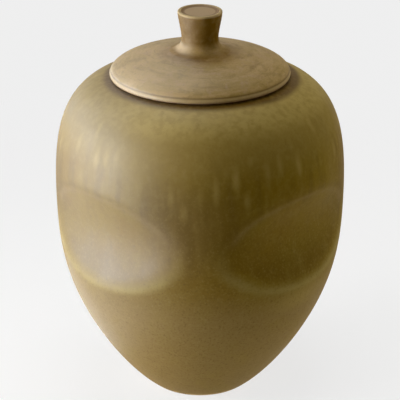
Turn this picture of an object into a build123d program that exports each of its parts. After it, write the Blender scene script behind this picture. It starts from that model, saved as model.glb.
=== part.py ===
from build123d import *
import os

# A lidded stoneware storage jar: a wheel-thrown body with four hollows pressed into its sides,
# and a lid made of a domed disc, a waisted knob and a locating ring.
# Lengths are millimetres and angles are degrees. +Z is up, and the origin is the middle of the
# foot, on the surface that the jar stands on. Every section is drawn as radius and height.

# Jar: outside
belly_radius = 125.5            # widest radius of the outside wall
foot_radius = 45.0              # outside wall where it meets the standing surface
lip_height = 288.0              # flat top of the lip, which carries the lid

# Jar: mouth and lip
mouth_radius = 58.0             # clear radius of the mouth
lip_width = 13.0                # from the mouth out to the shoulder
lip_thickness = 9.0
lip_inside = 6.0                # how far the lip reaches in past the wall below it
lip_bevel_in = 1.4              # bevel where the shoulder meets the lip's flat top
lip_bevel_drop = 0.8
mouth_rounding = 2.5            # top edge of the mouth
neck_rounding = 3.0             # under edge of the mouth

# Jar: inside
side_wall = 8.0                 # wall at the belly
floor_thickness = 11.0
floor_inset = 9.0               # the inside floor's edge, in from the foot

# Jar: foot
foot_rounding = 1.2
foot_ring_width = 9.0           # width of the ring that the jar stands on
foot_recess = 3.0               # depth turned out under the floor
foot_recess_rounding = 1.5

# The pull of the wall from foot to shoulder, as shares of its widest radius and of its rise
wall_pull_shares = ((0.821, 0.154), (1.347, 0.6525), (0.605, 0.398), (1.425, 0.946))

# Hollows, each pressed with the side of a round form that is swung about the jar
hollow_count = 4
first_hollow_angle = 45.0       # the jar's front is a ridge between two hollows
hollow_drop = 119.0             # middle of each hollow, below the lip
hollow_depth = 13.0
hollow_upright_radius = 76.0    # how each hollow curves from top to bottom
hollow_level_radius = 287.0     # how each hollow curves from side to side
hollow_rim_rounding = 16.0      # softness of the oval rim
hollow_inner_rounding = 14.0    # softness of the rim on the inside wall
hollow_swing = 25.0             # half of the angle that the form is swung through

# Lid: domed disc
lid_overhang = 6.2              # how far the lid reaches out past the lip
lid_edge_height = 1.5           # widest line of the edge, above the underside
lid_under_rounding = 1.4
lid_roll = 12.2                 # how far the dome's upright edge pulls
crown_rise = 21.3               # crown above the underside, where the knob's foot ends
crown_reach = 5.6               # how far the crown's slope pulls outward
crown_slope_share = 0.2         # fall over reach at the crown
crown_wall = 6.8                # clay between the knob's seat and the hollow under it
lid_hollow_upright = 10.0
lid_hollow_reach = 30.0

# Lid: locating ring, which drops into the mouth
ring_play = 1.5                 # gap all round between the ring and the mouth
ring_thickness = 5.0
ring_depth = 13.0
ring_rounding = 2.0

# Lid: knob
knob_foot_radius = 26.0
knob_seat_depth = 1.5           # the knob's foot is let into the crown by this much
knob_waist_radius = 15.75
knob_waist_rise = 11.0          # waist above the crown
knob_flare_in = 5.5             # how far the flare runs along the crown
knob_flare_up = 7.0             # how far the flare runs down from the waist
knob_rim_radius = 19.0
knob_rim_drop = 2.2             # widest line of the rim, below the top
knob_upright = 6.0              # how far the waist runs up before it opens
knob_open_drop = 7.5            # start of the opening below the rim
knob_open_in = 0.8              # start of the opening inside the rim
knob_rise = 34.8                # top of the knob above the crown
knob_top_rounding = 1.3
knob_rim_width = 2.2            # pale band round the dished top
knob_dish_depth = 1.0
knob_dish_slope = 4.3           # width of the slope round the flat middle of the dish

# Cuts run this far past the clay that they cut
overrun = 5.0

# Worked out from the sizes above
neck_radius = mouth_radius + lip_inside
neck_height = lip_height - lip_thickness
lip_radius = mouth_radius + lip_width
shoulder_height = lip_height - lip_bevel_drop
lid_underside = lip_height
lid_radius = lip_radius + lid_overhang
crown_height = lid_underside + crown_rise
knob_seat_height = crown_height - knob_seat_depth
ring_outer_radius = mouth_radius - ring_play
ring_inner_radius = ring_outer_radius - ring_thickness


def at(radius, height):
    """A point of a section, at a radius from the jar's axis and a height."""
    return Vector(radius, 0, height)


def turn(*edges):
    """The solid that one closed section gives on the wheel."""
    return revolve(make_face(edges), Axis.Z)


def soften(solid, radius, height, rounding):
    """Round the one circle of a solid that lies at a radius and a height."""
    def miss(edge):
        point = edge @ 0
        return (Vector(point.X, point.Y, 0).length - radius) ** 2 + (point.Z - height) ** 2

    circles = solid.edges().filter_by(GeomType.CIRCLE)
    return fillet(min(circles, key=miss), rounding)


def wall_line(start_radius, start_height, widest_radius, end_radius, end_height):
    """One pull of the wall, from its foot out to the belly and in to the shoulder."""
    rise = end_height - start_height
    points = [at(start_radius, start_height)]
    for radius_share, height_share in wall_pull_shares:
        points.append(at(radius_share * widest_radius, start_height + height_share * rise))
    points.append(at(end_radius, end_height))
    return Bezier(*points)


def hollow_form(growth):
    """The form that presses one hollow, on the +X side. Growth thickens it for the inside wall."""
    form_centre = hollow_level_radius + hollow_upright_radius
    hollow_height = lip_height - hollow_drop
    section = Plane.XZ * Pos(form_centre, hollow_height) * Circle(hollow_upright_radius + growth)
    swung = revolve(section, Axis.Z, revolution_arc=2 * hollow_swing)
    swing_centre = belly_radius - hollow_depth - hollow_level_radius
    return Pos(swing_centre, 0, 0) * Rot(0, 0, -hollow_swing) * swung


def press(solid, growth, rounding):
    """Press every hollow into a solid, and soften each oval rim that this leaves."""
    form = hollow_form(growth)
    for number in range(hollow_count):
        angle = first_hollow_angle + number * 360 / hollow_count
        solid = solid - Rot(0, 0, angle) * form
    rims = solid.edges().filter_by(GeomType.BSPLINE)
    return fillet(rims, rounding)


def make_jar_body():
    """The thrown jar: pressed outside, the same pressing inside, foot ring and lip."""
    side = wall_line(foot_radius, 0, belly_radius, lip_radius, shoulder_height)
    top_and_axis = Polyline(
        at(lip_radius, shoulder_height),
        at(lip_radius - lip_bevel_in, lip_height),
        at(0, lip_height),
        at(0, 0),
        at(foot_radius, 0),
    )
    outside = press(turn(side, top_and_axis), 0, hollow_rim_rounding)
    outside = soften(outside, foot_radius, 0, foot_rounding)

    inner_floor_radius = foot_radius - floor_inset
    inner_side = wall_line(
        inner_floor_radius,
        floor_thickness,
        belly_radius - side_wall,
        neck_radius,
        neck_height,
    )
    mouth_and_axis = Polyline(
        at(neck_radius, neck_height),
        at(mouth_radius, neck_height),
        at(mouth_radius, lip_height + overrun),
        at(0, lip_height + overrun),
        at(0, floor_thickness),
        at(inner_floor_radius, floor_thickness),
    )
    inside = press(turn(inner_side, mouth_and_axis), side_wall, hollow_inner_rounding)

    recess_radius = foot_radius - foot_ring_width
    recess = Pos(0, 0, foot_recess - overrun) * Cylinder(
        recess_radius, overrun, align=(Align.CENTER, Align.CENTER, Align.MIN)
    )
    recess = soften(recess, recess_radius, foot_recess, foot_recess_rounding)

    body = outside - inside - recess
    body = soften(body, mouth_radius, lip_height, mouth_rounding)
    return soften(body, mouth_radius, neck_height, neck_rounding)


def make_lid_plate():
    """The domed disc: rolled edge, flat bearing face, hollow crown and the knob's seat."""
    crown_fall = crown_slope_share * crown_reach
    edge_height = lid_underside + lid_edge_height
    dome = Bezier(
        at(knob_foot_radius, crown_height),
        at(knob_foot_radius + crown_reach, crown_height - crown_fall),
        at(lid_radius, edge_height + lid_roll),
        at(lid_radius, edge_height),
    )
    edge_and_bearing = Polyline(
        at(lid_radius, edge_height),
        at(lid_radius, lid_underside),
        at(ring_inner_radius, lid_underside),
    )
    hollow_top = knob_seat_height - crown_wall
    hollow = Bezier(
        at(ring_inner_radius, lid_underside),
        at(ring_inner_radius, lid_underside + lid_hollow_upright),
        at(lid_hollow_reach, hollow_top),
        at(0, hollow_top),
    )
    axis_and_seat = Polyline(
        at(0, hollow_top),
        at(0, knob_seat_height),
        at(knob_foot_radius, knob_seat_height),
        at(knob_foot_radius, crown_height),
    )
    plate = turn(dome, edge_and_bearing, hollow, axis_and_seat)
    return soften(plate, lid_radius, lid_underside, lid_under_rounding)


def make_locating_ring():
    """The ring under the lid that keeps it in the middle of the mouth."""
    bottom = lid_underside - ring_depth
    ring = turn(
        Polyline(
            at(ring_inner_radius, bottom),
            at(ring_outer_radius, bottom),
            at(ring_outer_radius, lid_underside),
            at(ring_inner_radius, lid_underside),
            close=True,
        )
    )
    ring = soften(ring, ring_outer_radius, bottom, ring_rounding)
    return soften(ring, ring_inner_radius, bottom, ring_rounding)


def make_knob():
    """The knob: a flared foot let into the crown, a waist, an opening rim and a dished top."""
    waist_height = crown_height + knob_waist_rise
    top_height = crown_height + knob_rise
    rim_height = top_height - knob_rim_drop
    flare = Bezier(
        at(knob_foot_radius, crown_height),
        at(knob_foot_radius - knob_flare_in, crown_height + crown_slope_share * knob_flare_in),
        at(knob_waist_radius, waist_height - knob_flare_up),
        at(knob_waist_radius, waist_height),
    )
    stem = Bezier(
        at(knob_waist_radius, waist_height),
        at(knob_waist_radius, waist_height + knob_upright),
        at(knob_rim_radius - knob_open_in, rim_height - knob_open_drop),
        at(knob_rim_radius, rim_height),
    )
    dish_rim_radius = knob_rim_radius - knob_rim_width
    dish_radius = dish_rim_radius - knob_dish_slope
    dish_bend_radius = (dish_rim_radius + dish_radius) / 2
    dish = Bezier(
        at(dish_rim_radius, top_height),
        at(dish_bend_radius, top_height - knob_dish_depth),
        at(dish_bend_radius, top_height - knob_dish_depth),
        at(dish_radius, top_height - knob_dish_depth),
    )
    rim = Polyline(
        at(knob_rim_radius, rim_height),
        at(knob_rim_radius, top_height),
        at(dish_rim_radius, top_height),
    )
    middle_and_foot = Polyline(
        at(dish_radius, top_height - knob_dish_depth),
        at(0, top_height - knob_dish_depth),
        at(0, knob_seat_height),
        at(knob_foot_radius, knob_seat_height),
        at(knob_foot_radius, crown_height),
    )
    knob = turn(flare, stem, rim, dish, middle_and_foot)
    return soften(knob, knob_rim_radius, top_height, knob_top_rounding)


os.makedirs("parts", exist_ok=True)
pieces = {
    "jar_body": make_jar_body(),
    "lid_plate": make_lid_plate(),
    "locating_ring": make_locating_ring(),
    "knob": make_knob(),
}
for name, solid in pieces.items():
    export_step(solid, "parts/" + name + ".step")
    print(name, "volume", round(solid.volume), "mm3")
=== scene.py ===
import math

import bpy
import numpy as np
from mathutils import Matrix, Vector


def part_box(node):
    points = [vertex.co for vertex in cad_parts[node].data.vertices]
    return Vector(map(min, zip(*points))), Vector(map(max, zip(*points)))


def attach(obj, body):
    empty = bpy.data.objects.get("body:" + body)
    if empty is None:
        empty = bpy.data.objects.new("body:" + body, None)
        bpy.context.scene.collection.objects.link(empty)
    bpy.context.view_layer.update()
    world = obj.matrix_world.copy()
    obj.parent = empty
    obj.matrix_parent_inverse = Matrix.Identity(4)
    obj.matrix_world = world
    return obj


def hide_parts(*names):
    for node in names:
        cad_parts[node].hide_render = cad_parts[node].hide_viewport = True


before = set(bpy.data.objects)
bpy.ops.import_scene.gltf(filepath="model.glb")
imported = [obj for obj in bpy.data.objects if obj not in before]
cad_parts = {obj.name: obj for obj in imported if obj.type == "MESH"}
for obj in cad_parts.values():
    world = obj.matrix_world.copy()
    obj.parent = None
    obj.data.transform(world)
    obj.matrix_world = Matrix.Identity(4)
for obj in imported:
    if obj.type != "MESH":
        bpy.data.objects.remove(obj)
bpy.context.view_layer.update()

# A lidded stoneware storage jar with four hollows pressed into its sides, in satin olive and tan
# glazes. Lengths are metres unless they carry mm, and angles are degrees. +Z is up, -Y is the front
# of the jar, and an azimuth runs from the front to the right.

mm = 0.001

# Sizes that the frame holds
jar_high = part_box("jar_body")[1]
lid_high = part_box("lid_plate")[1]
ring_low, ring_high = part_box("locating_ring")
knob_low, knob_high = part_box("knob")
lip_height = jar_high.z
lid_radius = lid_high.x
crown_height = lid_high.z
ring_outer_radius = ring_high.x
knob_foot_radius = knob_high.x
knob_seat_height = knob_low.z
knob_top = knob_high.z

# Jar: outside, mouth and lip
belly_radius = 125.45 * mm
foot_radius = 45.0 * mm
mouth_radius = 58.0 * mm
lip_radius = 71.0 * mm
lip_thickness = 9.0 * mm
lip_inside = 6.0 * mm
lip_bevel_in = 1.4 * mm
lip_bevel_drop = 0.8 * mm

# Jar: inside and foot
side_wall = 8.0 * mm
floor_thickness = 11.0 * mm
inner_floor_radius = 36.0 * mm
recess_radius = 36.0 * mm
foot_recess = 3.0 * mm

# The pull of the wall from foot to shoulder, as shares of its widest radius and of its rise
wall_pull_shares = ((0.821, 0.154), (1.347, 0.6525), (0.605, 0.398), (1.425, 0.946))

# The pressed hollows. Their rims are rounded more at the top than at the bottom, and the change
# runs over a span each way from the middle. On the inside wall, the pressing and the throwing
# rings stop a little below the neck.
hollow_count = 4
hollow_height = 169.0 * mm
hollow_depth = 13.0 * mm
hollow_upright_radius = 76.0 * mm
hollow_level_radius = 287.0 * mm
hollow_upper_blend = 7.5 * mm
hollow_lower_blend = 5.0 * mm
hollow_blend_span = 20.0 * mm
shaped_below_neck = 4.0 * mm

# Lid: disc
lid_edge_height = 1.5 * mm
lid_roll = 12.2 * mm
crown_reach = 5.6 * mm
crown_slope_share = 0.2
lid_hollow_rise = 13.0 * mm
lid_hollow_upright = 10.0 * mm
lid_hollow_reach = 30.0 * mm
ring_thickness = 5.0 * mm
edge_line_height = 4.3 * mm
edge_line_depth = 0.22 * mm
edge_line_width = 0.7 * mm

# Lid: knob
knob_waist_radius = 15.75 * mm
knob_waist_rise = 11.0 * mm
knob_flare_in = 5.5 * mm
knob_flare_up = 7.0 * mm
knob_rim_radius = 19.0 * mm
knob_rim_drop = 2.2 * mm
knob_upright = 6.0 * mm
knob_open_drop = 7.5 * mm
knob_open_in = 0.8 * mm
knob_rim_width = 2.2 * mm
knob_dish_depth = 1.0 * mm
knob_dish_slope = 4.3 * mm

# Marks of the potter's fingers and turning tool. Inside the jar the rings fade out towards the
# middle of the floor, and turn from the wall to the floor over a height.
inside_ring_pitch = 17.0 * mm
inside_ring_height = 0.35 * mm
inside_ring_fade = 20.0 * mm
inside_ring_turn = 12.0 * mm
knob_ring_pitch = 3.4 * mm
knob_ring_height = 0.035 * mm
lid_turning_pitch = 5.0 * mm
lid_turning_height = 0.12 * mm
ring_turning_pitch = 2.4 * mm
ring_turning_height = 0.05 * mm

# Points in each rounded corner of a profile, and on a wall's curve before it is spaced
corner_points = 5
wall_curve_points = 400


# Shapes


def bezier(points, count=160):
    """Points on a Bezier curve of any degree: each control point counts by its Bernstein share,
    which is C(n, k) t^k (1 - t)^(n - k), while t runs from 0 to 1."""
    points = np.array(points, float)
    degree = len(points) - 1
    t = np.linspace(0, 1, count)[:, None]
    shares = [math.comb(degree, k) * t**k * (1 - t) ** (degree - k) for k in range(degree + 1)]
    return sum(share * point for share, point in zip(shares, points))


def way_along(points):
    """How far along a line each of its points lies: the lengths of the steps, added up."""
    return np.concatenate([[0], np.cumsum(np.hypot(*np.diff(points, axis=0).T))])


def spaced(curve, start, end, spacing):
    """Points spaced evenly by length along a curve, after leaving off a length at each end."""
    curve = np.array(curve, float)
    way = way_along(curve)
    kept = way[-1] - start - end
    wanted = start + np.linspace(0, kept, max(2, round(kept / spacing) + 1))
    return np.stack([np.interp(wanted, way, curve[:, axis]) for axis in (0, 1)], axis=1)


def profile(stretches, roundings, spacings):
    """One line through several stretches, as three columns: each point's radius, its height and the
    number of its stretch. There is a spacing for each stretch and a rounding for each corner. Both
    stretches that meet at a corner are cut back by its rounding, and a quadratic Bezier curve
    through the corner joins them, numbered halfway between the two."""
    cuts = [0, *roundings, 0]
    parts = [
        spaced(stretch, start, end, spacing)
        for stretch, start, end, spacing in zip(stretches, cuts, cuts[1:], spacings)
    ]
    line = [parts[0]]
    numbers = [np.zeros(len(parts[0]))]
    for number, (before, corner, after) in enumerate(zip(parts, stretches[1:], parts[1:]), 1):
        bend = bezier((before[-1], corner[0], after[0]), corner_points + 2)[1:-1]
        line += [bend, after]
        numbers += [np.full(len(bend), number - 0.5), np.full(len(after), number)]
    line = np.concatenate(line)
    return line[:, :1], line[:, 1:], np.concatenate(numbers)[:, None]


def azimuths(columns):
    """The angle of each column in radians, as a row."""
    return np.linspace(-math.pi, math.pi, columns, endpoint=False)[None, :]


def turned(radius, height, columns):
    """Radius and height turned about the jar's axis: x is radius times the sine of the angle, y is
    minus radius times its cosine, and z is the height. Radius may differ from column to column."""
    angle = azimuths(columns)
    radius = radius + 0 * angle
    height = height + 0 * angle
    return np.stack([radius * np.sin(angle), -radius * np.cos(angle), height], axis=2)


def make_piece(name, grid, marks, body, nodes, closed_loop=False):
    """A closed smooth skin over a grid of rows by columns by x, y and z, whose columns run once
    round. The first and last row each shrink to one point on the axis, unless the rows run in a
    closed loop. Marks are values per grid point, which the materials read."""
    rows, columns = grid.shape[:2]
    ends = 0 if closed_loop else 1
    inner = slice(ends, rows - ends)

    def in_order(values):
        whole = values[inner].reshape(-1, *values.shape[2:])
        return whole if closed_loop else np.concatenate([values[:1, 0], whole, values[-1:, 0]])

    index = np.arange((rows - 2 * ends) * columns).reshape(-1, columns) + ends
    across = np.roll(index, -1, axis=1)
    if closed_loop:
        next_index = np.roll(index, -1, axis=0)
        quads = np.stack([index, across, np.roll(across, -1, axis=0), next_index], axis=2)
        faces = quads.reshape(-1, 4).tolist()
    else:
        quads = np.stack([index[:-1], across[:-1], across[1:], index[1:]], axis=2)
        first = np.zeros(columns, int)
        last = np.full(columns, index[-1, -1] + 1)
        faces = quads.reshape(-1, 4).tolist()
        faces += np.stack([first, across[0], index[0]], axis=1).tolist()
        faces += np.stack([index[-1], across[-1], last], axis=1).tolist()
    mesh = bpy.data.meshes.new(name)
    mesh.from_pydata(in_order(grid).tolist(), [], faces)
    mesh.polygons.foreach_set("use_smooth", np.ones(len(faces), bool))
    for mark, values in marks.items():
        attribute = mesh.attributes.new(mark, "FLOAT", "POINT")
        spread = np.broadcast_to(values, (rows, columns))
        attribute.data.foreach_set("value", in_order(spread[..., None]).ravel().astype(np.float32))
    mesh.update()
    piece = bpy.data.objects.new(name, mesh)
    bpy.context.scene.collection.objects.link(piece)
    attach(piece, body)
    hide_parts(*nodes)
    return piece


def soft_step(values, low, high):
    """0 up to low, 1 from high, and a smooth S between them."""
    share = np.clip((values - low) / (high - low), 0, 1)
    return share * share * (3 - 2 * share)


def soft_fall(values, low, high):
    """1 up to low, 0 from high, and a smooth S between them."""
    return soft_step(-values, -high, -low)


def bell(values, middle, width):
    """1 at the middle, falling off both ways: e to the minus square of the distance in widths."""
    return np.exp(-(((values - middle) / width) ** 2))


def wall_curve(start, widest, end):
    """The pull of the wall: the shares of its widest radius and of its rise, between its ends."""
    rise = end[1] - start[1]
    pulls = [(out * widest, start[1] + up * rise) for out, up in wall_pull_shares]
    return bezier((start, *pulls, end), wall_curve_points)


def form_reach(angle, height, growth):
    """How far from the jar's axis the pressing form lies: a ring of round section, standing level,
    so that a level cut is an arc of one radius and an upright cut is an arc of another."""
    upright = hollow_upright_radius + growth
    drop = np.clip(upright**2 - (height - hollow_height) ** 2, 0, None)
    level = hollow_level_radius + hollow_upright_radius - np.sqrt(drop)
    centre = belly_radius - hollow_depth - hollow_level_radius
    turn_share = 2 * math.pi / hollow_count
    angle = np.mod(angle, turn_share) - turn_share / 2
    return centre * np.cos(angle) + np.sqrt(level**2 - (centre * np.sin(angle)) ** 2)


def press(radius, angle, height, growth):
    """The wall's radius after pressing, and how far the form stays off the wall, which is below 0
    in the hollow. The rim is rounded by a quadratic blend where wall and form are close."""
    gap = form_reach(angle, height, growth) - radius
    low, high = hollow_height - hollow_blend_span, hollow_height + hollow_blend_span
    change = hollow_upper_blend - hollow_lower_blend
    blend = hollow_lower_blend + change * soft_step(height, low, high)
    closeness = np.clip(1 - np.abs(gap) / blend, 0, 1)
    pressed = radius + np.minimum(gap, 0) - blend * closeness**2 / 4
    return pressed, gap


def make_jar():
    """The jar: foot recess, foot ring, outside wall, lip, mouth, inside wall and floor, in one
    closed skin, with the hollows pressed into both walls and throwing rings left inside."""
    columns = 288
    neck = (mouth_radius + lip_inside, lip_height - lip_thickness)
    shoulder = (lip_radius, lip_height - lip_bevel_drop)
    lip_edge = (lip_radius - lip_bevel_in, lip_height)
    outside = wall_curve((foot_radius, 0), belly_radius, shoulder)
    inside = wall_curve((inner_floor_radius, floor_thickness), belly_radius - side_wall, neck)
    radius, height, stretch = profile(
        stretches=(
            ((0, foot_recess), (recess_radius, foot_recess)),
            ((recess_radius, foot_recess), (recess_radius, 0)),
            ((recess_radius, 0), (foot_radius, 0)),
            outside,
            (shoulder, lip_edge),
            (lip_edge, (mouth_radius, lip_height)),
            ((mouth_radius, lip_height), (mouth_radius, neck[1])),
            ((mouth_radius, neck[1]), neck),
            inside[::-1],
            ((inner_floor_radius, floor_thickness), (0, floor_thickness)),
        ),
        roundings=np.array((1.5, 0.8, 1.2, 0.5, 0.5, 2.5, 3.0, 2.0, 8.0)) * mm,
        spacings=np.array((5.0, 1.0, 2.0, 2.8, 0.6, 3.0, 2.0, 2.0, 3.0, 3.0)) * mm,
    )
    outside_number, mouth_number, inside_number = 3, 6, 8
    is_outside = stretch == outside_number
    is_inside = (stretch >= inside_number) & (height < neck[1] - shaped_below_neck)
    angle = azimuths(columns)
    outer_radius, gap = press(radius, angle, height, 0)
    inner_radius = press(radius, angle, height, side_wall)[0]
    shaped = np.where(is_outside, outer_radius, np.where(is_inside, inner_radius, radius))

    way = way_along(np.hstack([radius, height]))[:, None]
    ring = np.cos(2 * math.pi * way / inside_ring_pitch + angle)
    ring = inside_ring_height * ring * is_inside * soft_step(radius, 0, inside_ring_fade)
    on_floor = soft_fall(height, floor_thickness, floor_thickness + inside_ring_turn)
    on_floor = (stretch > inside_number) * on_floor
    grid = turned(shaped + ring * (1 - on_floor), height + ring * on_floor, columns)

    bare_foot = soft_fall(height, 0.7 * mm, 2.2 * mm) * (stretch <= outside_number)
    bare_lip = soft_step(height, lip_height - 1.2 * mm, lip_height - 0.3 * mm)
    bare_lip = bare_lip * (stretch <= mouth_number)
    hollow = is_outside * soft_step(-gap, 0, 5 * mm)
    below = hollow_height - height
    lower = 0.3 * soft_step(below, -12 * mm, 6 * mm) + 0.7 * soft_step(below, 4 * mm, 24 * mm)
    upper = soft_step(-below, 4 * mm, 22 * mm)
    marks = {
        # The hollow, and the lower part of it where glaze pools
        "hollow": hollow,
        "pool": hollow * soft_step(below, -6 * mm, 24 * mm),
        # Bands round the hollow: pale outside its lower edge and on its upper edge, partly glaze
        # break and partly painted sheen, and painted shade above that
        "low_rim_and_sheen": is_outside * bell(gap, 2.6 * mm, 2.6 * mm) * lower,
        "high_rim_and_sheen": is_outside * bell(gap, -0.5 * mm, 1.4 * mm) * upper,
        "high_shade": is_outside * bell(gap, 2.6 * mm, 1.5 * mm) * upper,
        # Clay wiped clean, and the inside below the mouth
        "bare": np.maximum(np.maximum(bare_foot, bare_lip), stretch < outside_number),
        "inside": (stretch > mouth_number) * 1.0,
    }
    return make_piece("jar", grid, marks, "jar", ["jar_body"])


def foot_pool_and_shadow(angle):
    """The pool of glaze round the knob's foot, with the knob's painted shadow, fullest at the
    front: 0.6 plus 0.4 times the cosine of the azimuth."""
    return 0.6 + 0.4 * np.cos(angle)


def make_lid_disc():
    """The lid's disc: hollow crown, flat bearing face, rolled edge with a fine line above it, dome,
    and the seat that the knob's foot fills."""
    columns = 256
    edge_height = lip_height + lid_edge_height
    ring_inner_radius = ring_outer_radius - ring_thickness
    hollow_top = lip_height + lid_hollow_rise
    hollow = bezier(
        (
            (0, hollow_top),
            (lid_hollow_reach, hollow_top),
            (ring_inner_radius, lip_height + lid_hollow_upright),
            (ring_inner_radius, lip_height),
        )
    )
    dome = bezier(
        (
            (lid_radius, edge_height),
            (lid_radius, edge_height + lid_roll),
            (knob_foot_radius + crown_reach, crown_height - crown_slope_share * crown_reach),
            (knob_foot_radius, crown_height),
        )
    )
    radius, height, stretch = profile(
        stretches=(
            hollow,
            ((ring_inner_radius, lip_height), (lid_radius, lip_height)),
            ((lid_radius, lip_height), (lid_radius, edge_height)),
            dome,
            ((knob_foot_radius, crown_height), (knob_foot_radius, knob_seat_height)),
            ((knob_foot_radius, knob_seat_height), (0, knob_seat_height)),
        ),
        roundings=np.array((0.6, 1.4, 0.05, 0.04, 0.3)) * mm,
        spacings=np.array((1.4, 1.4, 0.3, 0.5, 0.5, 3.0)) * mm,
    )
    hollow_number, dome_number = 0, 3
    is_dome = stretch == dome_number
    edge_line = is_dome * bell(height, lip_height + edge_line_height, edge_line_width)
    turning = lid_turning_height * np.cos(2 * math.pi * radius / lid_turning_pitch)
    turning = (stretch == hollow_number) * turning
    grid = turned(radius - edge_line_depth * edge_line, height + turning, columns)

    glazed = soft_step(height, lip_height + 0.6 * mm, lip_height + 1.6 * mm)
    near_edge = soft_fall(height, lip_height + 3.2 * mm, lip_height + 4.4 * mm)
    near_knob = soft_fall(radius, knob_foot_radius, knob_foot_radius + 16 * mm)
    marks = {
        "edge": 0.5 * is_dome * near_edge * glazed,
        "line": edge_line,
        "bare": (stretch > hollow_number) * (stretch < dome_number) * (1 - glazed),
        # The glaze pool round the knob's foot, with the knob's painted shadow
        "knob_ring": is_dome * near_knob * foot_pool_and_shadow(azimuths(columns)),
    }
    return make_piece("lid_disc", grid, marks, "lid", ["lid_plate"])


def make_knob():
    """The knob: foot in its seat, flare, waist, opening stem with faint throwing rings, rim and
    shallow dish."""
    columns = 176
    waist_height = crown_height + knob_waist_rise
    rim_height = knob_top - knob_rim_drop
    dish_rim_radius = knob_rim_radius - knob_rim_width
    dish_radius = dish_rim_radius - knob_dish_slope
    dish_bend = (dish_rim_radius + dish_radius) / 2
    dish_height = knob_top - knob_dish_depth
    flare = bezier(
        (
            (knob_foot_radius, crown_height),
            (knob_foot_radius - knob_flare_in, crown_height + crown_slope_share * knob_flare_in),
            (knob_waist_radius, waist_height - knob_flare_up),
            (knob_waist_radius, waist_height),
        )
    )
    stem = bezier(
        (
            (knob_waist_radius, waist_height),
            (knob_waist_radius, waist_height + knob_upright),
            (knob_rim_radius - knob_open_in, rim_height - knob_open_drop),
            (knob_rim_radius, rim_height),
        )
    )
    dish = bezier(
        (
            (dish_rim_radius, knob_top),
            (dish_bend, dish_height),
            (dish_bend, dish_height),
            (dish_radius, dish_height),
        )
    )
    radius, height, stretch = profile(
        stretches=(
            ((0, knob_seat_height), (knob_foot_radius, knob_seat_height)),
            ((knob_foot_radius, knob_seat_height), (knob_foot_radius, crown_height)),
            flare,
            stem,
            ((knob_rim_radius, rim_height), (knob_rim_radius, knob_top)),
            ((knob_rim_radius, knob_top), (dish_rim_radius, knob_top)),
            dish,
            ((dish_radius, dish_height), (0, dish_height)),
        ),
        roundings=np.array((0.3, 0.04, 0.4, 0.3, 1.2, 0.5, 0.8)) * mm,
        spacings=np.array((3.0, 0.5, 0.4, 0.4, 0.4, 0.4, 0.4, 1.5)) * mm,
    )
    foot_number, flare_number, rim_number, dish_number = 1, 2, 4, 6
    on_stem = (stretch >= flare_number) * (stretch < rim_number)
    on_stem = on_stem * soft_step(height, crown_height + 2 * mm, waist_height)
    angle = azimuths(columns)
    ring = np.cos(2 * math.pi * height / knob_ring_pitch + angle)
    ring = knob_ring_height * (ring - 1) * on_stem
    grid = turned(radius + ring, height, columns)

    rim_top = soft_step(height, rim_height + 0.2 * mm, rim_height + 1.4 * mm)
    off_dish = soft_step(radius, dish_rim_radius - 0.8 * mm, dish_rim_radius)
    in_dish = soft_fall(radius, dish_rim_radius - 1.0 * mm, dish_rim_radius)
    dish_middle = soft_fall(radius, dish_radius, dish_radius + 1.2 * mm)
    low_flare = soft_step(height, crown_height + 0.5 * mm, crown_height + 3 * mm)
    high_flare = soft_fall(height, crown_height + 4 * mm, crown_height + 10 * mm)
    # Painted highlight on the left of the flare
    painted_flare_highlight = soft_step(-np.sin(angle), 0.0, 0.9)
    near_crown = soft_fall(height, crown_height, crown_height + 4 * mm)
    marks = {
        "edge": rim_top * off_dish,
        "dish": (stretch >= dish_number) * in_dish,
        "dish_middle": (stretch >= dish_number) * dish_middle,
        # The glaze pool round the knob's foot, with the knob's painted shadow
        "knob_ring": (stretch >= foot_number) * near_crown * foot_pool_and_shadow(angle),
        "stem": on_stem,
        # The painted highlight on the flare
        "flare": (stretch > foot_number) * low_flare * high_flare * painted_flare_highlight,
    }
    return make_piece("lid_knob", grid, marks, "lid", ["knob"])


def make_ring():
    """The locating ring under the lid, with soft lower edges and the marks of the turning tool."""
    columns = 224
    inner = ring_outer_radius - ring_thickness
    low, high = ring_low.z, ring_high.z
    middle = ((inner + ring_outer_radius) / 2, low)
    corners = ((inner, low), (ring_outer_radius, low), (ring_outer_radius, high), (inner, high))
    columns_of_points = profile(
        stretches=(
            (middle, corners[1]),
            (corners[1], corners[2]),
            (corners[2], corners[3]),
            (corners[3], corners[0]),
            (corners[0], middle),
        ),
        roundings=np.array((2.0, 0.1, 0.1, 2.0)) * mm,
        spacings=np.array((0.5, 0.6, 1.0, 0.6, 0.5)) * mm,
    )
    # The last point is the first one again
    radius, height, stretch = (column[:-1] for column in columns_of_points)
    outer_number, inner_number = 1, 3
    side = (stretch == outer_number) * 1.0 - (stretch == inner_number) * 1.0
    turning = np.cos(2 * math.pi * height / ring_turning_pitch + azimuths(columns))
    turning = ring_turning_height * (turning - 1)
    grid = turned(radius + turning * side, height, columns)
    return make_piece("lid_ring", grid, {}, "lid", ["locating_ring"], closed_loop=True)


# Materials


def colour(red, green, blue):
    """A colour as it looks, from 0 to 255 a channel, as the linear colour that a shader takes."""
    shown = np.array((red, green, blue)) / 255
    linear = np.where(shown > 0.04045, ((shown + 0.055) / 1.055) ** 2.4, shown / 12.92)
    return (*linear.tolist(), 1.0)


def grey(tone):
    """A grey of that strength in linear light."""
    return (tone, tone, tone, 1.0)


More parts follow.
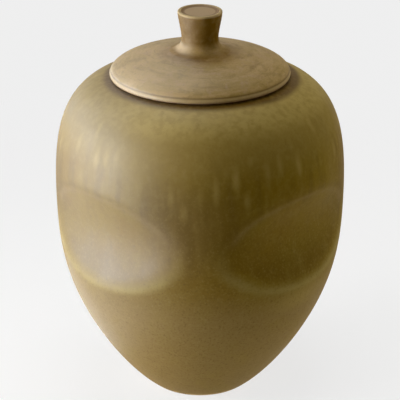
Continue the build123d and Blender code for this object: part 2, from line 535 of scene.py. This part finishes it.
class Nodes:
    """Short ways to add nodes to a material or the world. An input is a value or the output of
    another node."""

    def __init__(self, owner):
        owner.use_nodes = True
        self.tree = owner.node_tree
        self.tree.nodes.clear()

    def node(self, kind, inputs=None, **settings):
        """A new node of that kind, with its settings, and its inputs by name or number."""
        made = self.tree.nodes.new("ShaderNode" + kind)
        for key, value in settings.items():
            setattr(made, key, value)
        for key, value in (inputs or {}).items():
            if isinstance(value, bpy.types.NodeSocket):
                self.tree.links.new(value, made.inputs[key])
            else:
                made.inputs[key].default_value = value
        return made

    def calculate(self, operation, *values):
        """What the operation makes of the values."""
        return self.node("Math", dict(enumerate(values)), operation=operation).outputs[0]

    def times(self, first, second):
        """One value times another."""
        return self.calculate("MULTIPLY", first, second)

    def vector(self, operation, *values):
        """The node that does the operation on the vectors."""
        return self.node("VectorMath", dict(enumerate(values)), operation=operation)

    def length(self, vector):
        """How long a vector is."""
        return self.vector("LENGTH", vector).outputs["Value"]

    def mix(self, share, first, second):
        """The first colour, with that share of the second in its place."""
        inputs = {0: share, 6: first, 7: second}
        return self.node("Mix", inputs, data_type="RGBA").outputs[2]


class Paint(Nodes):
    """A material, and short ways to make its patterns from the place on the piece."""

    def __init__(self, name):
        self.material = bpy.data.materials.new(name)
        super().__init__(self.material)
        self.place = self.node("TexCoord").outputs["Object"]

    def stretched(self, scale):
        """The place on the piece times a scale in each direction. A small scale makes a pattern
        long that way."""
        return self.vector("MULTIPLY", self.place, scale).outputs[0]

    def noise(self, size, detail=2.0, roughness=0.5, place=None, warp=0.0):
        """A cloud of values about 0.5, with features of about that size in metres. Detail is how
        many times finer clouds are added, and roughness how strong they are."""
        inputs = {
            "Vector": place or self.place,
            "Scale": 1 / size,
            "Detail": detail,
            "Roughness": roughness,
            "Distortion": warp,
        }
        return self.node("TexNoise", inputs).outputs[0]

    def step(self, value, low, high, start=0.0, end=1.0):
        """A smooth step from start to end while the value goes from low to high."""
        inputs = {"Value": value, "From Min": low, "From Max": high, "To Min": start, "To Max": end}
        return self.node("MapRange", inputs, interpolation_type="SMOOTHSTEP").outputs[0]

    def mark(self, name, share=None):
        """One of the marks that a piece carries, or that share of it."""
        mark = self.node("Attribute", attribute_name=name).outputs["Fac"]
        return mark if share is None else self.times(mark, share)

    def layered(self, base, layers):
        """A base colour with layers over it, each a share and a colour as it looks."""
        for share, shade in layers:
            base = self.mix(share, base, colour(*shade))
        return base

    def finish(self, base, roughness, relief, depth, specular):
        """The shader: base colour, roughness, and relief as fine bumps of that depth."""
        bump = self.node("Bump", {"Height": relief, "Distance": depth, "Strength": 1.0})
        inputs = {
            "Base Color": base,
            "Roughness": roughness,
            "Normal": bump.outputs[0],
            "Specular IOR Level": specular,
        }
        shader = self.node("BsdfPrincipled", inputs)
        self.node("OutputMaterial", {"Surface": shader.outputs[0]})
        return self.material


# Pale tears in the glaze of the shoulder, spots at its collar, and a patch of painted light
# below the front right hollow: azimuth, height, half width and half length, in degrees and
# millimetres, and how pale each one is
front_tears_and_light_patch = (
    (-58, 249, 3.4, 8.0, 0.8), (-53, 224, 3.2, 6.0, 0.5), (-49, 264, 3.2, 9.0, 0.6),
    (-45, 243, 3.4, 9.0, 0.9), (-40, 247, 3.0, 8.0, 0.7), (-35, 249, 3.0, 7.0, 0.5),
    (-24, 229, 3.6, 8.0, 0.3), (-11, 224, 3.4, 9.0, 0.5), (-6, 211, 3.4, 8.0, 0.5),
    (0, 225, 3.2, 9.0, 0.3), (6, 230, 3.4, 11.0, 0.8), (14, 239, 3.4, 11.0, 1.0),
    (18, 220, 3.4, 8.0, 0.6), (20, 251, 3.0, 4.0, 0.6), (27, 240, 3.0, 10.0, 0.5),
    (33, 244, 3.4, 8.0, 0.8), (40, 257, 3.4, 6.0, 0.4), (42, 240, 3.4, 9.0, 1.0),
    (56, 265, 3.4, 9.0, 0.7), (68, 236, 3.4, 8.0, 0.6), (-27, 283, 6.5, 2.6, 0.6),
    (-14, 282, 7.0, 2.6, 0.6), (-6, 282, 8.0, 2.6, 0.9), (5, 281, 6.0, 2.8, 0.9),
    (10, 280, 5.5, 3.0, 1.0), (19, 282, 9.0, 2.6, 0.8), (28, 283, 8.0, 2.4, 0.5),
    # The last oval on the next line is a patch of painted light, not a tear
    (53, 282, 8.0, 3.0, 0.8), (46, 116, 34.0, 12.0, 0.8),
)
back_tears = (
    (84, 246, 3.4, 8.0, 0.7), (93, 234, 3.3, 9.0, 0.8), (103, 258, 3.1, 6.0, 0.5),
    (112, 229, 3.5, 8.0, 0.7), (126, 241, 3.3, 8.0, 0.6), (139, 232, 3.4, 9.0, 0.8),
    (151, 255, 3.1, 6.5, 0.5), (163, 237, 3.5, 9.0, 0.8), (-171, 246, 3.3, 7.0, 0.6),
    (-158, 230, 3.4, 9.0, 0.8), (-146, 257, 3.1, 6.5, 0.5), (-133, 237, 3.4, 8.0, 0.7),
    (-119, 244, 3.3, 7.0, 0.6), (-104, 231, 3.5, 9.0, 0.8), (-88, 252, 3.3, 7.5, 0.7),
    (-76, 236, 3.2, 8.0, 0.5), (96, 282, 7.0, 2.6, 0.7), (132, 281, 8.0, 2.8, 0.8),
    (170, 282, 7.0, 2.6, 0.7), (-140, 281, 8.0, 2.8, 0.8), (-98, 282, 7.0, 2.6, 0.7),
)
# How far a tear's outline wanders, and at how many times its half sizes it has faded out
tear_raggedness = 3.0 * mm
tear_reach = 1.5


def tears_and_light_patch(paint, azimuth, height):
    """Soft ovals on the unrolled wall, each palest in its middle and fading out to 0: the tears,
    the spots, and the patch of painted light.
    """
    along_wall = paint.times(azimuth, belly_radius)
    ragged = paint.noise(6 * mm, detail=3.0)
    along_wall = paint.calculate("MULTIPLY_ADD", ragged, tear_raggedness, along_wall)
    wall = paint.node("CombineXYZ", {0: along_wall, 1: height}).outputs[0]
    total = 0.0
    for degrees, middle, half_width, half_length, paleness in front_tears_and_light_patch + back_tears:
        scale = (1 / (half_width * mm), 1 / (half_length * mm), 0)
        along = math.radians(degrees) * belly_radius + tear_raggedness / 2
        shift = (-along * scale[0], -middle * mm * scale[1], 0)
        distance = paint.length(paint.vector("MULTIPLY_ADD", wall, scale, shift).outputs[0])
        oval = paint.step(distance, 0.0, tear_reach, paleness, 0.0)
        total = paint.calculate("MAXIMUM", total, oval)
    return total


# How much rougher the bare clay is than the glaze, and how deep the glaze is pitted
bare_extra_roughness = 0.25
glaze_pitting = 0.04 * mm


def finish_glaze(paint, base, roughness, grain, fine, specular):
    """The shader of a glaze: rougher bare clay where the piece is wiped clean, and faint pitting
    from the coarse and the fine grain."""
    bare = paint.mark("bare")
    clay = paint.mix(paint.step(fine, 0.35, 0.65), colour(160, 126, 88), colour(178, 144, 104))
    roughness = paint.calculate("MULTIPLY_ADD", bare, bare_extra_roughness, roughness)
    relief = paint.calculate("MULTIPLY_ADD", grain, 0.6, paint.times(fine, 0.4))
    return paint.finish(paint.mix(bare, base, clay), roughness, relief, glaze_pitting, specular)


def olive_glaze():
    """The jar's glaze: olive, browner and paler low down, partly as painted light, yellower
    and mottled at the shoulder, with a pale collar, painted shade on the left of the shoulder,
    a brown stain round the lip that is partly the lid's painted shadow, and bare clay where the
    jar stands and the lid rests. It has painted shade on the ridges and just above the hollows,
    is darker low in the hollows, and is paler on the hollows' rims, partly as painted sheen.
    Runs, tears, clouds and specks lie over it, and a patch of painted light below the front
    right hollow."""
    paint = Paint("olive_glaze")
    apart = paint.node("SeparateXYZ", {0: paint.place})
    aside, height = apart.outputs[0], apart.outputs[2]
    azimuth = paint.calculate("ARCTAN2", aside, paint.times(apart.outputs[1], -1.0))
    turns = paint.calculate("COSINE", paint.times(azimuth, float(hollow_count)))
    clouds = paint.noise(0.085)
    patches = paint.noise(0.022, detail=3.0, roughness=0.55, place=paint.stretched((1, 1, 0.6)))
    runs = paint.noise(0.011, place=paint.stretched((1, 1, 0.12)))
    mottle = paint.noise(5.5 * mm, place=paint.stretched((1, 1, 0.9)))
    grain = paint.noise(1.9 * mm, detail=3.0, roughness=0.6)
    fine = paint.noise(0.9 * mm, detail=2.0, roughness=0.6)

    # Painted shade: darker on the ridges between the hollows, at mid height
    ridge_shade = paint.times(paint.step(height, 0.14, 0.19), paint.step(height, 0.25, 0.21))
    ridge_shade = paint.times(ridge_shade, paint.step(turns, -0.8, 1.0, 0.0, 0.75))
    collar = paint.step(height, 0.262, 0.278)
    collar = paint.times(collar, paint.step(mottle, 0.3, 0.6, 0.55, 0.95))
    # Painted shade: darker on the left of the shoulder, next to the lid
    painted_left_shade = paint.step(height, 0.245, 0.268)
    painted_left_shade = paint.times(painted_left_shade, paint.step(aside, -0.04, -0.085, 0.0, 0.6))
    in_runs = paint.times(paint.step(height, 0.13, 0.18), paint.step(height, 0.27, 0.22))
    in_runs = paint.times(in_runs, paint.step(paint.mark("hollow"), 0.0, 1.0, 1.0, 0.5))
    # Pale glaze break below the hollows, partly painted sheen
    low_rim_and_sheen = paint.mark("low_rim_and_sheen", paint.step(patches, 0.25, 0.6, 0.5, 0.85))
    # The brown stain round the lip carries the lid's painted shadow on the shoulder, and reaches
    # 1 mm lower on the right
    stain_and_shadow_height = paint.calculate("MULTIPLY_ADD", paint.step(aside, 0.03, 0.07), 1 * mm, height)
    lip_stain_and_lid_shadow = paint.step(stain_and_shadow_height, 0.2834, 0.2858)
    lip_stain_and_lid_shadow = paint.times(lip_stain_and_lid_shadow, paint.step(mottle, 0.3, 0.6, 0.75, 1.0))
    mottled = paint.step(height, 0.2, 0.26, 0.10, 0.18)
    grainy = paint.step(height, 0.25, 0.13, 0.35, 1.0)

    base = paint.mix(paint.step(clouds, 0.35, 0.65), colour(142, 115, 22), colour(136, 106, 16))
    layers = (
        # Low wall, partly painted light, shoulder, painted shade on ridges, hollows and collar
        # Paler low down: partly a thinner glaze and partly painted light from below
        (paint.step(height, 0.15, 0.10), (154, 126, 66)),
        (paint.step(height, 0.225, 0.268, 0.0, 0.85), (156, 131, 60)),
        (ridge_shade, (112, 85, 5)),
        (paint.mark("pool", 0.5), (108, 78, 4)),
        (collar, (182, 157, 82)),
        # Painted shade on the left of the shoulder
        (painted_left_shade, (126, 104, 48)),
        # Patches and runs, pale and dark
        (paint.step(patches, 0.5, 0.8, 0.0, 0.35), (158, 134, 58)),
        (paint.step(patches, 0.45, 0.2, 0.0, 0.25), (118, 92, 22)),
        (paint.times(in_runs, paint.step(runs, 0.48, 0.70, 0.0, 0.22)), (156, 128, 54)),
        (paint.times(in_runs, paint.step(runs, 0.52, 0.28, 0.0, 0.4)), (108, 82, 12)),
        # Rims of the hollows, partly painted sheen, painted shade above them, tears and stain
        (low_rim_and_sheen, (176, 154, 82)),
        # Painted shade just above the hollows' upper edges
        (paint.mark("high_shade", 0.22), (98, 72, 8)),
        (paint.mark("high_rim_and_sheen", 0.3), (164, 138, 88)),
        # Tears and spots, and the patch of painted light
        (paint.times(tears_and_light_patch(paint, azimuth, height), 0.6), (184, 157, 80)),
        # Brown lip stain, partly the lid's painted shadow
        (lip_stain_and_lid_shadow, (90, 62, 8)),
        # Mottle and specks, pale and dark
        (paint.times(mottled, paint.step(mottle, 0.45, 0.75)), (174, 150, 80)),
        (paint.times(mottled, paint.step(mottle, 0.65, 0.25, 0.0, 0.5)), (112, 86, 22)),
        (paint.times(grainy, paint.step(grain, 0.52, 0.75, 0.0, 0.35)), (174, 150, 88)),
        (paint.times(grainy, paint.step(grain, 0.48, 0.25, 0.0, 0.45)), (96, 70, 18)),
        # The inside is plainer
        (paint.mark("inside", 0.5), (150, 126, 72)),
    )
    base = paint.layered(base, layers)
    # The glaze is a little smoother in the hollows
    roughness = paint.step(patches, 0.3, 0.7, 0.61, 0.67)
    roughness = paint.calculate("MULTIPLY_ADD", paint.mark("hollow"), -0.05, roughness)
    return finish_glaze(paint, base, roughness, grain, fine, specular=0.11)


def tan_glaze(name, specular):
    """The lid's glaze, under the given name and specular level: tan brown with clouds, and strokes
    that run round the lid. It is olive brown on the knob's stem, pooled darker round the knob's
    foot, where it carries the knob's painted shadow too, darker in the line above the edge and
    round the dish, and paler on the edges and in the dish's middle. A painted highlight lies on
    the left of the flare."""
    paint = Paint(name)
    clouds = paint.noise(0.045, detail=3.0, roughness=0.55)
    squat_place = paint.stretched((1, 1, 2.0))
    swirl = paint.noise(0.013, detail=4.0, roughness=0.6, place=squat_place, warp=0.5)
    grain = paint.noise(1.8 * mm, detail=3.0, roughness=0.6)
    fine = paint.noise(0.8 * mm, detail=2.0, roughness=0.6)
    level = paint.stretched((1, 1, 0))
    outward = paint.vector("NORMALIZE", level).outputs[0]
    height = paint.node("SeparateXYZ", {0: paint.place}).outputs[2]
    # The strokes are long round the lid, because the outward direction changes slowly there, and
    # short across it, where radius less height changes from the edge in and up the knob
    across = paint.times(paint.calculate("SUBTRACT", paint.length(level), height), 3.5)
    across = paint.node("CombineXYZ", {2: across}).outputs[0]
    turned_place = paint.vector("MULTIPLY_ADD", outward, (0.06, 0.06, 0), across).outputs[0]
    strokes = paint.noise(0.022, detail=3.0, roughness=0.6, place=turned_place)

    base = paint.mix(paint.step(clouds, 0.38, 0.62), colour(182, 151, 90), colour(168, 139, 72))
    layers = (
        # Strokes, swirls and specks
        (paint.step(strokes, 0.5, 0.7, 0.0, 0.6), (192, 160, 106)),
        (paint.step(strokes, 0.48, 0.3, 0.0, 0.6), (140, 110, 52)),
        (paint.step(swirl, 0.5, 0.72, 0.0, 0.5), (188, 156, 118)),
        (paint.step(swirl, 0.48, 0.3, 0.0, 0.5), (138, 110, 48)),
        (paint.step(grain, 0.52, 0.74, 0.0, 0.3), (196, 168, 124)),
        (paint.step(grain, 0.48, 0.26, 0.0, 0.3), (118, 90, 40)),
        # Stem, the pool and painted shadow round the foot, and painted highlight on the flare
        (paint.mark("stem", paint.step(strokes, 0.65, 0.35, 0.75, 1.0)), (126, 92, 0)),
        (paint.mark("knob_ring", paint.step(swirl, 0.3, 0.7, 1.0, 0.6)), (118, 84, 8)),
        (paint.mark("flare", 0.65), (212, 188, 150)),
        # Edges, line and dish
        (paint.mark("line", 0.75), (104, 76, 28)),
        (paint.mark("dish"), (150, 118, 74)),
        (paint.mark("dish_middle"), (192, 162, 118)),
        (paint.mark("edge", 0.75), (206, 180, 126)),
    )
    base = paint.layered(base, layers)
    roughness = paint.step(swirl, 0.3, 0.7, 0.6, 0.68)
    return finish_glaze(paint, base, roughness, grain, fine, specular)


def bare_clay():
    """Fired stoneware without glaze: warm buff, gritty, with small dark and pale specks."""
    paint = Paint("bare_clay")
    patches = paint.noise(0.012, detail=4.0, roughness=0.6)
    grit = paint.noise(1.1 * mm, detail=3.0, roughness=0.7)
    base = paint.mix(paint.step(patches, 0.35, 0.65), colour(156, 122, 86), colour(172, 140, 102))
    layers = (
        (paint.step(grit, 0.60, 0.72, 0.0, 0.6), (112, 82, 54)),
        (paint.step(grit, 0.38, 0.28, 0.0, 0.5), (198, 172, 134)),
    )
    base = paint.layered(base, layers)
    return paint.finish(base, roughness=0.85, relief=grit, depth=0.08 * mm, specular=0.2)


# Stage, light and camera

# Tones of the room and the floor in linear light, and how far from the jar the floor fades
pale_room = 0.86
dim_room = 0.03
floor_half_width = 6.0
floor_fade_start = 0.25
floor_fade_end = 0.75
floor_lit_tone = 0.24
floor_own_tone = 0.74


def seen_directly(nodes):
    """1 for the camera and for what shows in gloss or through glass, and 0 for all other light."""
    path = nodes.node("LightPath").outputs
    either = nodes.calculate("MAXIMUM", path["Is Camera Ray"], path["Is Glossy Ray"])
    return nodes.calculate("MAXIMUM", either, path["Is Transmission Ray"])


def make_floor():
    """A pale floor. Round the jar its paint is partly lit by the lamps, so that the jar's shadow
    shows on it, and further out it fades to the plain tone of the room."""
    half = floor_half_width
    mesh = bpy.data.meshes.new("floor")
    corners = [(-half, -half, 0), (half, -half, 0), (half, half, 0), (-half, half, 0)]
    mesh.from_pydata(corners, [], [(0, 1, 2, 3)])
    floor = bpy.data.objects.new("floor", mesh)
    bpy.context.scene.collection.objects.link(floor)
    paint = Paint("pale_floor")
    distance = paint.length(paint.place)
    near = paint.step(distance, floor_fade_start, floor_fade_end, 1.0, 0.0)
    lit_tone = paint.mix(near, grey(0.0), grey(floor_lit_tone))
    own_tone = paint.mix(near, grey(pale_room), grey(floor_own_tone))
    lit = paint.node("BsdfDiffuse", {"Color": lit_tone})
    own = paint.node("Emission", {"Color": own_tone, "Strength": seen_directly(paint)})
    both = paint.node("AddShader", {0: lit.outputs[0], 1: own.outputs[0]})
    paint.node("OutputMaterial", {"Surface": both.outputs[0]})
    floor.data.materials.append(paint.material)


def make_world():
    """A dim grey room for the light, and a pale one where the camera looks."""
    world = bpy.data.worlds.new("room")
    bpy.context.scene.world = world
    room = Nodes(world)
    tone = room.mix(seen_directly(room), grey(dim_room), grey(pale_room))
    sky = room.node("Background", {"Color": tone})
    room.node("OutputWorld", {"Surface": sky.outputs[0]})


# Lamps: name, place, the point that it is aimed at, width and height, and radiance
jar_middle = (0, 0, 0.17)
surface_lamps = (
    ("window", (-0.96, -0.26, 0.31), jar_middle, (0.46, 0.32), 16.5),
    ("window_side", (-0.70, -0.80, 0.30), jar_middle, (0.5, 0.5), 1.65),
    ("window_top", (-0.75, -0.45, 0.85), jar_middle, (0.5, 0.5), 0.8),
    ("ceiling", (0, 0, 3.2), jar_middle, (1.5, 1.5), 3.5),
    ("sky", (-1.6, -0.3, 2.4), jar_middle, (1.2, 1.2), 0.9),
    ("far_wall", (0, 1.8, 2.4), jar_middle, (1.2, 1.2), 1.1),
    ("side", (0.95, -0.20, 0.35), jar_middle, (0.5, 0.5), 0.7),
    ("side_far", (0.95, 0.35, 0.30), jar_middle, (0.5, 0.5), 2.6),
    ("reflector", (0, 0, 0.001), jar_middle, (1.4, 1.4), 0.33),
)
gloss_lamps = (
    ("window_high", (-0.49, 0.13, 0.58), jar_middle, (0.24, 0.33), 35),
    ("window_middle", (-0.48, -0.11, 0.32), jar_middle, (0.28, 0.18), 118),
    ("window_sill", (-0.49, -0.09, 0.18), jar_middle, (0.24, 0.10), 33),
    ("window_low", (-0.49, -0.09, 0.06), jar_middle, (0.24, 0.12), 56),
    ("window_near", (-0.46, -0.31, 0.13), jar_middle, (0.14, 0.14), 140),
    ("window_far", (-0.70, 0.55, 0.35), jar_middle, (0.35, 0.35), 19),
    ("table", (-0.24, -0.05, 0.002), (-0.24, -0.05, 1), (0.28, 0.5), 4.6),
    ("panel_high", (-0.25, 0.35, 0.95), (0, 0, 0.3), (0.35, 0.35), 27),
)
warm_light = (1.0, 0.99, 0.97)
cool_light = (0.90, 0.95, 1.0)


def add_lamp(name, place, aim, size, radiance, in_gloss):
    """A soft box at a place, turned to a point that it is aimed at. Its power is pi times its area
    times its radiance. It either lights the surfaces or only shows in their gloss."""
    lamp = bpy.data.lights.new(name, "AREA")
    lamp.shape = "RECTANGLE"
    lamp.size, lamp.size_y = size
    lamp.energy = math.pi * size[0] * size[1] * radiance
    lamp.color = cool_light if in_gloss else warm_light
    lamp.cycles.use_multiple_importance_sampling = False
    holder = bpy.data.objects.new(name, lamp)
    holder.location = place
    holder.rotation_euler = (Vector(aim) - Vector(place)).to_track_quat("-Z", "Y").to_euler()
    holder.visible_camera = False
    holder.visible_diffuse = not in_gloss
    holder.visible_glossy = in_gloss
    bpy.context.scene.collection.objects.link(holder)


def make_light():
    """A window on the left lights the surfaces, with softer light beside and above it, from the
    ceiling, the sky, the far wall and the right, and from a reflector under the jar. The gloss
    shows the window in parts, from high to low and near to far, the table below it and a panel
    overhead, which give the satin haze down the jar's left side."""
    make_world()
    for lamps, in_gloss in ((surface_lamps, False), (gloss_lamps, True)):
        for lamp in lamps:
            add_lamp(*lamp, in_gloss)


# The camera's place, how far it looks down in degrees, and its lens and film width in millimetres
camera_place = (0, -1.5, 0.8133)
camera_tilt = 23.2
camera_lens = 167.2
film_width = 36


def make_camera():
    """A long lens in front of the jar, looking down at it."""
    camera = bpy.data.cameras.new("camera")
    camera.sensor_width = film_width
    camera.lens = camera_lens
    holder = bpy.data.objects.new("camera", camera)
    holder.location = camera_place
    holder.rotation_euler = (math.radians(90 - camera_tilt), 0, 0)
    bpy.context.scene.collection.objects.link(holder)
    bpy.context.scene.camera = holder


jar = make_jar()
disc = make_lid_disc()
knob = make_knob()
ring = make_ring()
jar.data.materials.append(olive_glaze())
disc.data.materials.append(tan_glaze("tan_glaze", 0.18))
knob.data.materials.append(tan_glaze("tan_glaze_knob", 0.08))
ring.data.materials.append(bare_clay())
make_floor()
make_light()
make_camera()
bpy.context.scene.view_settings.view_transform = "Standard"
